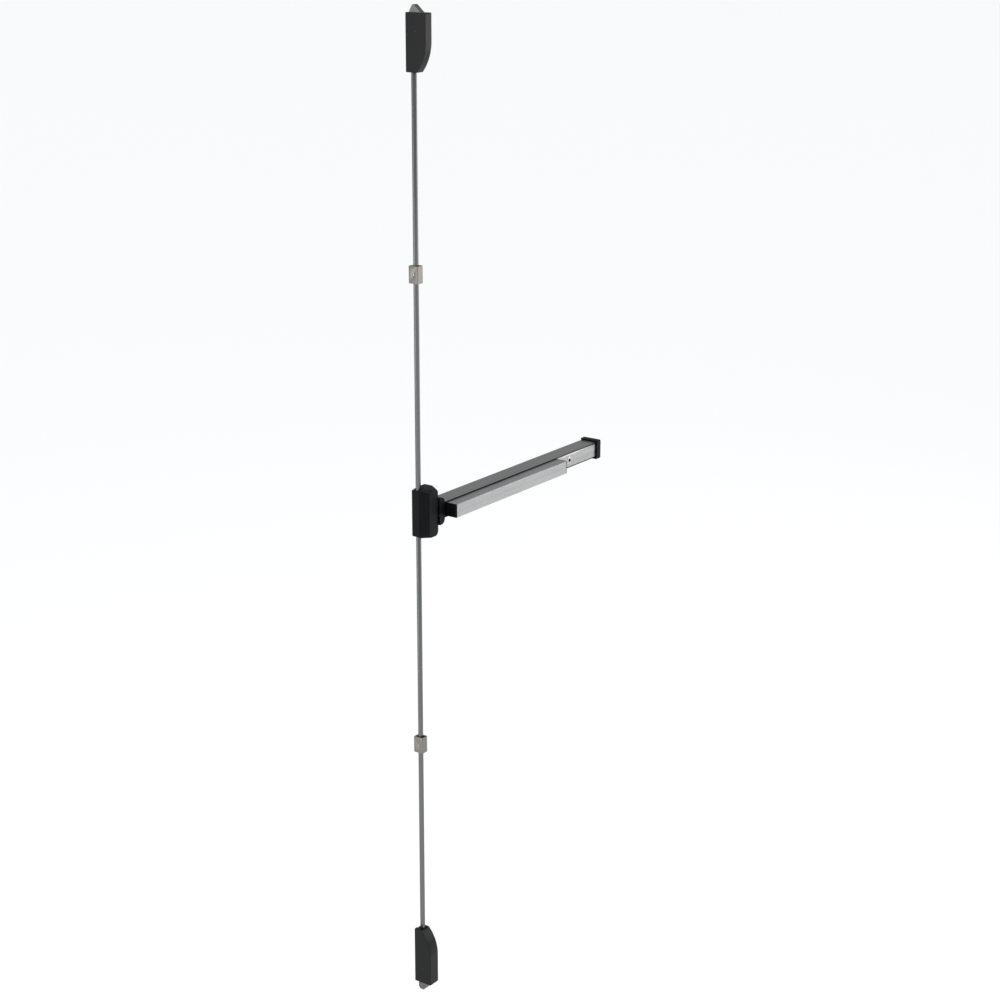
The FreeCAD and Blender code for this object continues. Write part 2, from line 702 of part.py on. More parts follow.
def make_guide(which, height):
    half = guide_width / 2
    inside = half - d.guide_wall
    tall = about(height, d.guide_height / 2)
    plate = Blank(f"{which}_guide_plate")
    plate.pad("XZ", (Size(0), d.plate), rectangle((-inside + d.running_gap, inside - d.running_gap), tall))
    plate.pocket("XZ", (Size(-1), d.plate + 1), *[
        Ring(Size(0), height + side * d.guide_hole_spacing / 2, d.guide_hole_dia) for side in (-1, 1)])
    plate.done()

    bushing = Blank(f"{which}_guide_bushing")
    bushing_tall = about(height, d.guide_height / 2 - d.bushing_recess)
    bushing.pad("XY", bushing_tall, rectangle((-inside + d.running_gap, inside - d.running_gap),
                                              deep(d.plate, guide_depth - d.guide_wall - d.running_gap)))
    bushing.pocket("XY", bushing_tall, Ring(Size(0), rod_y, d.rod_dia + d.running_gap * 2))
    tip = half - d.guide_screw_length - d.running_gap
    bushing.pocket("YZ", (-half, -tip), Ring(rod_y, height, d.screw_dia + d.running_gap * 2))
    bushing.pocket("YZ", (tip, half), Ring(rod_y, height, d.screw_dia + d.running_gap * 2))
    bushing.done()

    sleeve = Blank(f"{which}_guide_sleeve")
    sleeve.pad("XY", tall, rectangle((-half, half), deep(Size(0), guide_depth)))
    corner = flat_on("y", -guide_depth)
    sleeve.round(d.guide_wall, lambda edge: corner(edge) and edge.BoundBox.ZLength > 1)
    sleeve.pocket("XY", (tall[0] - 1, tall[1] + 1), rectangle(
        (-inside, inside), deep(Size(-1), guide_depth - d.guide_wall)))
    sleeve.pocket("YZ", (-half - 1, half + 1), Ring(rod_y, height, d.screw_dia + d.running_gap * 2))
    sleeve.done()

    screws = []
    for side in (-1, 1):
        name = f"{which}_guide_screw_{'left' if side < 0 else 'right'}"
        span = (half - d.guide_screw_length, half) if side > 0 else (-half, -half + d.guide_screw_length)
        shank = round_bar(f"{name}_shank", "x", (rod_y, height), d.screw_dia, span)
        key_span = (half - 1.6, half + 1) if side > 0 else (-half - 1, -half + 1.6)
        socket = hex_bar(f"{name}_socket", "x", (rod_y, height), d.key_flats, key_span)
        screws.append(cut(name, shank, [socket]))
    subpart(grouped(f"{which}_guide_screws", screws), f"{which}_guide_screws")


make_guide("upper", d.upper_guide_reach)
make_guide("lower", -d.lower_guide_reach)


# ---- centre case -----------------------------------------------------------------------------------------
# A black moulded cover over a steel base plate. Its sides are straight near the door, then taper to a
# smaller rounded front; a neck on the bar's side wraps the channel's end. Two bell-crank levers turn on
# pins in the base plate.


def case_outline(width, height, corner, trim):
    half_width = Size(words(width)) / 2 - trim
    half_height = Size(words(height)) / 2 - trim
    return rounded(about(case_centre, half_width), (-half_height, half_height), Size(words(corner)) - trim)


def make_case():
    cover = Blank("centre_case_cover")
    wide = (case_width, d.case_height, d.case_corner)
    slim = (d.case_front_width, d.case_front_height, d.case_front_corner)
    cover.pad("XZ", (Size(0), case_straight), case_outline(*wide, 0))
    cover.loft("XZ", (case_straight, d.case_depth), (case_outline(*wide, 0), case_outline(*slim, 0)))
    cover.round(Size(3), flat_on("y", -d.case_depth))
    neck_depth = d.channel_depth + d.free_gap + d.neck_wall
    bend = Arc(d.neck_corner)
    cover.pad("XZ", (Size(0), neck_depth), [
        (d.neck_start, -d.neck_half_height), (d.neck_end - d.neck_corner, -d.neck_half_height), bend,
        (d.neck_end, -d.neck_half_height + d.neck_corner),
        (d.neck_end, d.neck_half_height - d.neck_corner), bend,
        (d.neck_end - d.neck_corner, d.neck_half_height), (d.neck_start, d.neck_half_height)])
    cover.pocket("XZ", (Size(-1), case_straight), case_outline(*wide, d.case_wall))
    cover.loft("XZ", (case_straight, d.case_depth - d.case_wall),
               (case_outline(*wide, d.case_wall), case_outline(*slim, d.case_wall)), adds=False)
    passage = channel_half + d.free_gap
    cover.pocket("XZ", (Size(-1), d.channel_depth + d.free_gap), rectangle(
        (d.neck_start, d.neck_end + 1), (-passage, passage)))
    notch = nut_flats / 2 + d.free_gap
    notch_front = rod_depth + nut_flats / math.sqrt(3) + d.free_gap
    for side in (-1, 1):
        def span(low, high):
            return (low, high) if side > 0 else (-high, -low)

        cover.pocket("XY", span(case_half - d.case_wall - d.case_corner, case_half + 1), rectangle(
            (-notch, notch), deep(Size(-1), notch_front)))
        cover.pocket("XY", span(case_half - d.case_wall - 1, case_half + 1), Ring(
            d.case_screw_x, -d.case_screw_depth, d.screw_head_dia + d.running_gap * 2))
    cover.done()

    plate = Blank("centre_base_plate")
    inside_left, inside_right = case_left + d.case_wall + d.free_gap, case_right - d.case_wall - d.free_gap
    inside_half = case_half - d.case_wall - d.free_gap
    plate.pad("XZ", (Size(0), d.plate), rounded((inside_left, inside_right), (-inside_half, inside_half),
                                                d.case_corner - d.case_wall))
    for side in (-1, 1):
        ends = (inside_half - d.plate, inside_half)
        span = ends if side > 0 else (-ends[1], -ends[0])
        plate.pad("XY", span, rectangle(about(d.case_screw_x, Size(9)), deep(Size(0), d.case_screw_depth + 7)))
        plate.pocket("XY", (span[0] - 1, span[1] + 1), Ring(
            d.case_screw_x, -d.case_screw_depth, d.screw_dia + d.running_gap * 2))
    half = d.pin_dia / 2 + d.running_gap
    through = (Size(-1), d.plate + 1)
    draw_mid = lever_rod_arm
    for side in (-1, 1):
        plate.pocket("XZ", through, upright_slot(
            Size(0), about(side * d.lever_place, d.bolt_throw / 2 + d.slot_gap), half))
        plate.pocket("XZ", through, slot(about(draw_mid, draw_travel / 2 + d.slot_gap),
                                         side * (d.lever_place - d.lever_draw_arm), half))
    plate.pocket("XZ", through, *[Ring(lever_rod_arm, side * d.lever_place, d.pivot_dia) for side in (-1, 1)])
    across, along = d.case_hole_spacing_x / 2, d.case_hole_spacing_z / 2
    plate.pocket("XZ", through, *[
        Ring(d.case_hole_x + side * across, level * along, d.mount_hole_dia)
        for side in (-1, 1) for level in (-1, 1)])
    plate.done()

    screws = [flush_screw(f"centre_cover_screw_{side}", "z", (d.case_screw_x, -d.case_screw_depth), case_half,
                          d.case_wall, inside_half - d.plate, side) for side in (-1, 1)]
    subpart(grouped("centre_cover_screws", screws), "centre_cover_screws")

    pins = []
    head_near = d.lever_depth + d.lever_thickness + d.free_gap / 2
    for word, side in (("upper", 1), ("lower", -1)):
        centre = (lever_rod_arm, side * d.lever_place)
        shank = round_bar(f"{word}_lever_pin_shank", "y", centre, d.pivot_dia, deep(Size(0), head_near + 1))
        cap = round_bar(f"{word}_lever_pin_head", "y", centre, d.pivot_dia * 1.6,
                        deep(head_near, head_near + 1.6))
        pins.append(joined(f"{word}_lever_pin", [shank, cap]))
    subpart(grouped("lever_pivot_pins", pins), "lever_pivot_pins")


def pin_slot(arm, swing):
    """How far a pin that moves in a straight line wanders along an arm: the range of its slot's centres."""
    return (arm - d.slot_gap, Size(f"({words(arm)} / cos({words(swing)}))") + d.slot_gap)


def place_bell_crank(blank, spot, axis, angle):
    """Moves a piece drawn about its own pivot to its place, turned about that pivot."""
    body = blank.body
    body.Placement = FreeCAD.Placement(FreeCAD.Vector(), FreeCAD.Rotation(axis, 1))
    tie(body, "Placement.Rotation.Angle", angle)
    for letter, place in zip("xyz", spot):
        tie(body, f"Placement.Base.{letter}", place)
    return blank.done()


def make_lever(which, side):
    """Long arm towards the rod, short arm towards the drawbar; drawn half way through its swing."""
    lever = Blank(f"{which}_lever")
    span = (Size(0), d.lever_thickness)
    arm_half = pin_slot_half + d.arm_wall
    near_rod, far_rod = pin_slot(lever_rod_arm, lever_swing)
    near_draw, far_draw = pin_slot(d.lever_draw_arm, lever_swing)

    def upright(low, high):
        return (low, high) if side < 0 else (-high, -low)

    lever.pad("XZ", span, slot((-far_rod, Size(0)), Size(0), arm_half))
    lever.pad("XZ", span, upright_slot(Size(0), upright(Size(0), far_draw), arm_half))
    lever.pad("XZ", span, Ring(Size(0), Size(0), d.hub_dia))
    lever.pocket("XZ", span, Ring(Size(0), Size(0), d.pivot_dia + d.running_gap * 2))
    lever.pocket("XZ", span, slot((-far_rod, -near_rod), Size(0), pin_slot_half))
    lever.pocket("XZ", span, upright_slot(Size(0), upright(near_draw, far_draw), pin_slot_half))
    turn = lever_swing if side > 0 else -lever_swing
    place_bell_crank(lever, (lever_rod_arm, -d.lever_depth, side * d.lever_place), FreeCAD.Vector(0, 1, 0),
                     turn)


make_case()
make_lever("upper", 1)
make_lever("lower", -1)


# ---- channel ---------------------------------------------------------------------------------------------
# An extruded channel, open to the front, with a lip along each side of its mouth. Both bell-crank brackets,
# the spring's bracket, the dogging bracket and the end bracket stand on its back.


def make_channel():
    channel = Blank("channel")
    length = (d.channel_start, d.bar_reach)
    outer = channel_half
    lip = d.channel_depth - d.lip_depth
    channel.pad("YZ", length, [
        (Size(0), -outer), (Size(0), outer), (-d.channel_depth, outer), (-d.channel_depth, mouth_half),
        (-lip, mouth_half), (-lip, channel_inner), (-d.channel_back, channel_inner),
        (-d.channel_back, -channel_inner), (-lip, -channel_inner), (-lip, -mouth_half),
        (-d.channel_depth, -mouth_half), (-d.channel_depth, -outer)])
    front = flat_on("y", -d.channel_depth)
    channel.round(Size(0.8), lambda edge: front(edge) and edge.BoundBox.XLength > 1
                  and abs(abs(edge.BoundBox.ZMax) - number(outer)) < 1e-3)
    through = (Size(-1), d.channel_back + 1)
    channel.pocket("XZ", through, *[
        Ring(place, side * d.bar_hole_spacing / 2, d.mount_hole_dia)
        for place in (d.bar_hole_near, d.bar_reach - d.bar_hole_inset) for side in (-1, 1)])
    channel.done()


def make_crank_parts(side_name, pivot_x):
    inner, outer = d.cheek_inner, d.cheek_inner + d.plate
    foot = (d.channel_back, d.channel_back + 2)
    bracket = Blank(f"crank_bracket_{side_name}")
    bracket.pad("XZ", foot, rectangle(about(pivot_x, d.bracket_half_length), (-outer, outer)))
    cheek = rectangle(about(pivot_x, d.cheek_half_length), deep(foot[0], d.crank_depth + 6))
    bracket.pad("XY", (inner, outer), cheek)
    bracket.pad("XY", (-outer, -inner), cheek)
    bracket.pocket("XY", (-outer - 1, outer + 1), Ring(pivot_x, -d.crank_depth, d.pivot_dia))
    bracket.done()

    crank = Blank(f"crank_{side_name}")
    thick = about(Size(0), d.crank_thickness / 2)
    arm_half = pin_slot_half + d.arm_wall
    near_pad, far_pad = pin_slot(d.pad_arm, crank_swing)
    near_draw, far_draw = pin_slot(d.draw_arm, crank_swing)
    crank.pad("XY", thick, slot((-far_pad, Size(0)), Size(0), arm_half))
    crank.pad("XY", thick, upright_slot(Size(0), (Size(0), far_draw), arm_half))
    hub = inner - d.free_gap
    crank.pad("XY", (-hub, hub), Ring(Size(0), Size(0), d.hub_dia))
    crank.pocket("XY", (-hub, hub), Ring(Size(0), Size(0), d.pivot_dia + d.running_gap * 2))
    crank.pocket("XY", thick, slot((-far_pad, -near_pad), Size(0), pin_slot_half))
    crank.pocket("XY", thick, upright_slot(Size(0), (near_draw, far_draw), pin_slot_half))
    place_bell_crank(crank, (pivot_x, -d.crank_depth, Size(0)), FreeCAD.Vector(0, 0, 1), crank_swing)

    # the pad's carrier: a web under the pad's skin with two legs that straddle the crank's long arm
    web = (d.pad_front - d.pad_skin - d.web_depth, d.pad_front - d.pad_skin)
    pin_x = pivot_x - d.pad_arm
    pin_depth = d.crank_depth + d.pad_travel / 2
    leg_outer = d.leg_inner + d.leg_thickness
    carrier = Blank(f"pad_carrier_{side_name}")
    carrier.pad("XZ", web, rectangle(about(pin_x, d.leg_half_length * 2), about(Size(0), leg_outer + 6)))
    leg = rectangle(about(pin_x, d.leg_half_length), deep(pin_depth - d.pin_dia, web[1]))
    carrier.pad("XY", (d.leg_inner, leg_outer), leg)
    carrier.pad("XY", (-leg_outer, -d.leg_inner), leg)
    carrier.pocket("XY", (-leg_outer - 1, leg_outer + 1), Ring(pin_x, -pin_depth, d.pin_dia))
    carrier.done()

    pad_pin = round_bar(f"pad_pin_{side_name}", "z", (pin_x, -pin_depth), d.pin_dia, about(Size(0), leg_outer))
    crank_pin = round_bar(f"crank_pin_{side_name}", "z", (pivot_x, -d.crank_depth), d.pivot_dia,
                          about(Size(0), outer + 1))
    return pad_pin, crank_pin


make_channel()
lock_pins = make_crank_parts("lock_side", d.crank_lock_x)
hinge_pins = make_crank_parts("hinge_side", d.crank_hinge_x)
subpart(grouped("pad_pins", [lock_pins[0], hinge_pins[0]]), "pad_pins")
subpart(grouped("crank_pins", [lock_pins[1], hinge_pins[1]]), "crank_pins")


# ---- push pad --------------------------------------------------------------------------------------------
# A folded skin that stands out of the channel's mouth, closed at each end by a black moulded cap that plugs
# into it.


def make_pad():
    skin = Blank("push_pad")
    length = (d.pad_start + d.pad_cap, d.pad_end - d.pad_cap)
    inner = pad_half - d.pad_skin
    skin.pad("YZ", length, rectangle(deep(d.pad_back, d.pad_front), (-pad_half, pad_half)))
    front = flat_on("y", -d.pad_front)
    skin.round(d.pad_round, lambda edge: front(edge) and edge.BoundBox.XLength > 1)
    skin.pocket("YZ", length, rectangle(deep(d.pad_back - 1, d.pad_front - d.pad_skin), (-inner, inner)))
    skin.done()

    for side_name, face, sign in (("lock_side", d.pad_start, 1), ("hinge_side", d.pad_end, -1)):
        def span(low, high):
            return (face + low, face + high) if sign > 0 else (face - high, face - low)

        cap = Blank(f"pad_cap_{side_name}")
        cap.pad("YZ", span(Size(0), d.pad_cap), rectangle(deep(d.pad_back, d.pad_front), (-pad_half, pad_half)))
        corner = flat_on("y", -d.pad_front)
        cap.round(d.pad_round, lambda edge: corner(edge) and edge.BoundBox.XLength > 1)
        room = inner - d.running_gap * 2
        deep_front = d.pad_front - d.pad_skin - d.running_gap * 2
        cap.pad("YZ", span(d.pad_cap, d.pad_cap + d.pad_cap_plug), rectangle(deep(d.pad_back + 6, deep_front),
                                                                           (-room, room)))
        cap.pocket("YZ", span(d.pad_cap, d.pad_cap + d.pad_cap_plug), rectangle(
            deep(d.pad_back + 5, deep_front - 2), (-room + 2, room - 2)))
        cap.done()


make_pad()


# ---- drawbar ---------------------------------------------------------------------------------------------
# A flat strip along the channel's back. Its head in the centre case carries the levers' two pins; two pins
# along it ride in the bell cranks; a tab takes the return spring; and a pin at its far end is what the
# dogging hook catches.


def make_drawbar():
    strip_z = (-d.leg_inner - d.leg_thickness, -d.leg_inner)
    strip_y = about(-drawbar_depth, d.strip_half_width)
    pin_x = lever_rod_arm - draw_travel / 2
    pin_z = d.lever_place - d.lever_draw_arm
    post_x = (d.crank_lock_x - draw_travel / 2, d.crank_hinge_x - draw_travel / 2, catch_x)
    strip = block("drawbar_strip", (d.head_start, catch_x + d.strip_half_width), strip_y, strip_z)
    head = block("drawbar_head", (d.head_start, d.head_start + d.head_length),
                 deep(d.head_depth, drawbar_depth), about(Size(0), d.head_half_height))
    tab = block("drawbar_tab", (d.tab_x, d.tab_x + d.tab_thickness), strip_y, (strip_z[0], d.spring_z + 5))
    holes = [round_bar("drawbar_tab_hole", "x", (-drawbar_depth, d.spring_z), d.guide_rod_dia + d.free_gap * 2,
                       (d.tab_x - 1, d.tab_x + d.tab_thickness + 1))]
    pins = []
    for word, side in (("upper", 1), ("lower", -1)):
        centre = (pin_x, side * pin_z)
        holes.append(round_bar(f"{word}_pin_hole", "y", centre, d.pin_dia,
                               deep(d.head_depth - 1, drawbar_depth + 1)))
        pins.append(round_bar(f"{word}_drawbar_pin", "y", centre, d.pin_dia, deep(d.free_gap, drawbar_depth)))
    for word, place in zip(("lock", "hinge", "catch"), post_x):
        centre = (place, -drawbar_depth)
        top = d.crank_thickness / 2 + (0 if word == "catch" else 1.5)
        holes.append(round_bar(f"{word}_pin_hole", "z", centre, d.pin_dia, (strip_z[0] - 1, strip_z[1] + 1)))
        pins.append(round_bar(f"{word}_drawbar_pin", "z", centre, d.pin_dia, (strip_z[0], top)))
    subpart(cut("drawbar", joined("drawbar_blank", [strip, head, tab]), holes), "drawbar")
    subpart(grouped("drawbar_pins", pins), "drawbar_pins")


def make_return_spring():
    centre = (-drawbar_depth, d.spring_z)
    coil("return_spring", "x", centre, d.main_spring_radius, (d.tab_x + d.tab_thickness, d.spring_x), turns=11)
    bracket = Blank("spring_bracket")
    bracket.pad("XZ", (d.channel_back, d.channel_back + 2), rectangle((d.spring_x, d.spring_x + 25),
                                                                      about(Size(0), Size(12))))
    bracket.pad("YZ", (d.spring_x, d.spring_x + d.plate), rectangle(
        deep(d.channel_back, drawbar_depth + 8), (Size(0), d.spring_z + 7)))
    bracket.pocket("YZ", (d.spring_x - 1, d.spring_x + d.plate + 1), Ring(
        -drawbar_depth, d.spring_z, d.guide_rod_dia))
    bracket.done()
    subpart(round_bar("spring_guide_rod", "x", centre, d.guide_rod_dia,
                      (d.tab_x - 10, d.spring_x + d.plate)), "spring_guide_rod")


make_drawbar()
make_return_spring()


# ---- dogging ---------------------------------------------------------------------------------------------
# With the pad pushed in, a quarter turn of the screw swings the hook's nose down behind the drawbar's last
# pin and holds the bolts drawn. A bright flanged bushing in the cover plate leads the hex key to the
# screw's socket.


def make_dogging():
    legs_outer = channel_inner - d.free_gap
    legs_inner = legs_outer - d.plate
    plate_y = (d.dog_plate_depth, d.dog_plate_depth + d.dog_plate)
    along = about(dog_x, d.dog_half_length)
    bracket = Blank("dogging_bracket")
    bracket.pad("XZ", plate_y, rectangle(along, (-legs_outer, legs_outer)))
    leg = rectangle(along, deep(d.channel_back, plate_y[1]))
    bracket.pad("XY", (legs_inner, legs_outer), leg)
    bracket.pad("XY", (-legs_outer, -legs_inner), leg)
    bracket.pocket("XZ", (plate_y[0] - 1, plate_y[1] + 1), Ring(
        dog_x, Size(0), d.dog_shaft_dia + d.running_gap * 2))
    bracket.done()

    centre = (dog_x, Size(0))
    shaft = round_bar("dogging_shaft", "y", centre, d.dog_shaft_dia, deep(d.dog_shaft_end, d.dog_head_near + 1))
    head = round_bar("dogging_head", "y", centre, d.dog_head_dia, deep(d.dog_head_near, d.dog_head_far))
    socket = hex_bar("dogging_socket", "y", centre, d.dog_key_flats,
                     deep(d.dog_head_far - 5, d.dog_head_far + 1))
    subpart(cut("dogging_screw", joined("dogging_screw_blank", [shaft, head]), [socket]), "dogging_screw")

    hook = Blank("dogging_hook")
    span = (d.dog_shaft_end, d.dog_shaft_end + d.hook_thickness)
    hook.pad("XZ", span, Ring(dog_x, Size(0), d.dog_shaft_dia + 3.4))
    nose_far = catch_x - dog_x + draw_travel - d.pin_dia / 2 - d.nose_gap
    across = about(dog_x, d.hook_width / 2)
    hook.pad("XZ", span, rectangle(across, (Size(0), nose_far)))
    hook.pocket("XZ", span, Ring(dog_x, Size(0), d.dog_shaft_dia))
    hook.pad("XZ", (drawbar_depth - d.pin_dia / 2, span[0]), rectangle(across, (nose_far - d.nose, nose_far)))
    hook.done()

    plate_front = d.channel_depth
    flange = round_bar("dogging_bushing_flange", "y", centre, d.bushing_flange_dia,
                       deep(plate_front, plate_front + d.bushing_flange))
    barrel = round_bar("dogging_bushing_barrel", "y", centre, d.key_hole_dia + 3.5,
                       deep(d.dog_head_far + d.free_gap, plate_front + d.bushing_flange))
    bore = round_bar("dogging_bushing_bore", "y", centre, d.key_hole_dia,
                     deep(d.dog_head_far - 1, plate_front + d.bushing_flange + 1))
    blank = joined("dogging_bushing_blank", [flange, barrel])
    subpart(cut("dogging_bushing", blank, [bore]), "dogging_bushing")


def make_cover_plate():
    """The filler between the pad and the end cap, with a folded leg along each side."""
    plate = Blank("cover_plate")
    half = mouth_half - d.cover_side_gap
    length = (d.pad_end + d.cover_gap, d.bar_reach)
    front = d.channel_depth
    back = front - d.cover_plate
    leg = front - d.cover_leg
    plate.pad("YZ", length, [
        (-front, -half), (-leg, -half), (-leg, -half + d.cover_plate), (-back, -half + d.cover_plate),
        (-back, half - d.cover_plate), (-leg, half - d.cover_plate), (-leg, half), (-front, half)])
    plate.pocket("XZ", (back - 1, front + 1), Ring(dog_x, Size(0), d.key_hole_dia + 3.5))
    plate.done()


make_dogging()
make_cover_plate()


# ---- hinge side end --------------------------------------------------------------------------------------
# An angle bracket inside the channel's end takes the two screws of the black moulded end cap.


def make_end():
    upright_x = (d.bar_reach - d.end_inset - d.plate, d.bar_reach - d.end_inset)
    half = channel_inner - d.free_gap
    bracket = Blank("end_bracket")
    bracket.pad("XZ", (d.channel_back, d.channel_back + d.plate), rectangle(
        (upright_x[1] - d.end_bracket_length, upright_x[1]), (-half, half)))
    tall = d.channel_depth - d.cover_leg - d.free_gap
    bracket.pad("YZ", upright_x, rectangle(deep(d.channel_back, tall), (-half, half)))
    screw_places = (d.end_screw_near, d.end_screw_far)
    bracket.pocket("YZ", (upright_x[0] - 1, upright_x[1] + 1), *[
        Ring(-place, Size(0), d.screw_dia + d.running_gap * 2) for place in screw_places])
    bracket.done()

    outer_half = d.cap_height / 2
    face = d.bar_reach + d.cap_length
    cap = Blank("end_cap")
    cap.pad("YZ", (d.bar_reach - d.end_inset, face), rectangle(
        deep(Size(0), d.cap_depth), (-outer_half, outer_half)))
    front, top_face, low_face = flat_on("y", -d.cap_depth), flat_on("z", outer_half), flat_on("z", -outer_half)
    cap.round(d.cap_round, lambda edge: front(edge) and (top_face(edge) or low_face(edge)))
    side = flat_on("x", face)
    cap.round(Size(2), lambda edge: side(edge) and edge.BoundBox.YMin < -1)
    snug = channel_half + d.free_gap
    cap.pocket("YZ", (d.bar_reach - d.end_inset - 1, d.bar_reach), rectangle(
        deep(Size(-1), d.channel_depth + d.bushing_flange), (-snug, snug)))
    hollow = outer_half - d.cap_wall
    floor_x = face - d.cap_face
    cap.pocket("YZ", (d.bar_reach - 0.5, floor_x), rectangle(deep(Size(-1), d.cap_depth - d.cap_wall - 2),
                                                           (-hollow + 2, hollow - 2)))
    cap.pad("YZ", (d.bar_reach + 0.5, floor_x), *[
        Ring(-place, Size(0), d.cap_boss_dia) for place in screw_places])
    cap.pocket("YZ", (d.bar_reach - 1, face + 1), *[
        Ring(-place, Size(0), d.screw_dia + d.running_gap * 2) for place in screw_places])
    cap.pocket("YZ", (face - d.cap_face / 2, face + 1), *[
        Ring(-place, Size(0), d.screw_head_dia + d.running_gap * 2) for place in screw_places])
    cap.done()

    screws = [flush_screw(f"end_cap_screw_{word}", "x", (-place, Size(0)), face, d.cap_face / 2,
                          upright_x[0] - 1, 1)
              for word, place in (("near", d.end_screw_near), ("far", d.end_screw_far))]
    subpart(grouped("end_cap_screws", screws), "end_cap_screws")


make_end()


# ---- checks and files ------------------------------------------------------------------------------------

doc.recompute()
for thing in doc.Objects:
    if "Invalid" in thing.State or "Error" in thing.State:
        raise RuntimeError(f"{thing.Name} failed: {thing.State}")
for thing in SUBPARTS:
    if thing.Shape.isNull() or not thing.Shape.isValid() or thing.Shape.Volume <= 0:
        raise RuntimeError(f"{thing.Label} has no sound shape")

os.makedirs("parts", exist_ok=True)
for thing in SUBPARTS:
    thing.Shape.exportStep(os.path.join("parts", f"{thing.Label}.step"))
print(f"{len(SUBPARTS)} sub-parts written")
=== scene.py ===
import math

import bmesh
import bpy
from mathutils import Matrix, Vector


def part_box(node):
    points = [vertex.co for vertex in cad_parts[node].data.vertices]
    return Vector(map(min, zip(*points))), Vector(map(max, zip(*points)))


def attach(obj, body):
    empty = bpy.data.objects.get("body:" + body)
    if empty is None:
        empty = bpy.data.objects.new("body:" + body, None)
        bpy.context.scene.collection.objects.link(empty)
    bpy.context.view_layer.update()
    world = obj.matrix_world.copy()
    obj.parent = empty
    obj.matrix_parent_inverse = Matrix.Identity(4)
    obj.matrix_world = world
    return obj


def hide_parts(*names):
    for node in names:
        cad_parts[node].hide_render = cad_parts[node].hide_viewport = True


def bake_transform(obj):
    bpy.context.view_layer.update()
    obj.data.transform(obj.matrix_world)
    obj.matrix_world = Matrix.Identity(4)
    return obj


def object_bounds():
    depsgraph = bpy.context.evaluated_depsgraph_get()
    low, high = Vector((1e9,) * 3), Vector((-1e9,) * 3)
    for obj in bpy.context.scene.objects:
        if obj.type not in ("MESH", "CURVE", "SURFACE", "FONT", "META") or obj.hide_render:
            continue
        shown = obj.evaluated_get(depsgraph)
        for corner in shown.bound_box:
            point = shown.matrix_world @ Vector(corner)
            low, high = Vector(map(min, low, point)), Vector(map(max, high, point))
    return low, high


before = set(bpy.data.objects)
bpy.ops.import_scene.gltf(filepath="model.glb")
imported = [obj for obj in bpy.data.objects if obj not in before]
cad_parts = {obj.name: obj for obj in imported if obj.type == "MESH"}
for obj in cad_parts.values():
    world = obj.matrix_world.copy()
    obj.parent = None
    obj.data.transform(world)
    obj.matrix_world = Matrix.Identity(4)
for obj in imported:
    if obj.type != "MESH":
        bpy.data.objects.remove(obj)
cad_low, cad_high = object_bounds()


# ---- the channel -------------------------------------------------------------------------------------------
# A long extruded aluminium channel with a lip on each side of its mouth, screwed to the door behind the pad.
# It has a dull grey finish with fine lines along its length, and the other pieces of the bar sit in it.


class Wire:
    """An output of a shader node. Sums written with it add the Math nodes that work them out."""

    def __init__(self, finish, socket):
        self.finish, self.socket = finish, socket

    def sum(self, operation, first, second):
        return self.finish.node("ShaderNodeMath", {"operation": operation}, {0: first, 1: second})

    def __add__(self, other):
        return self.sum("ADD", self, other)

    def __radd__(self, other):
        return self.sum("ADD", other, self)

    def __sub__(self, other):
        return self.sum("SUBTRACT", self, other)

    def __rsub__(self, other):
        return self.sum("SUBTRACT", other, self)

    def __mul__(self, other):
        return self.sum("MULTIPLY", self, other)

    def __rmul__(self, other):
        return self.sum("MULTIPLY", other, self)


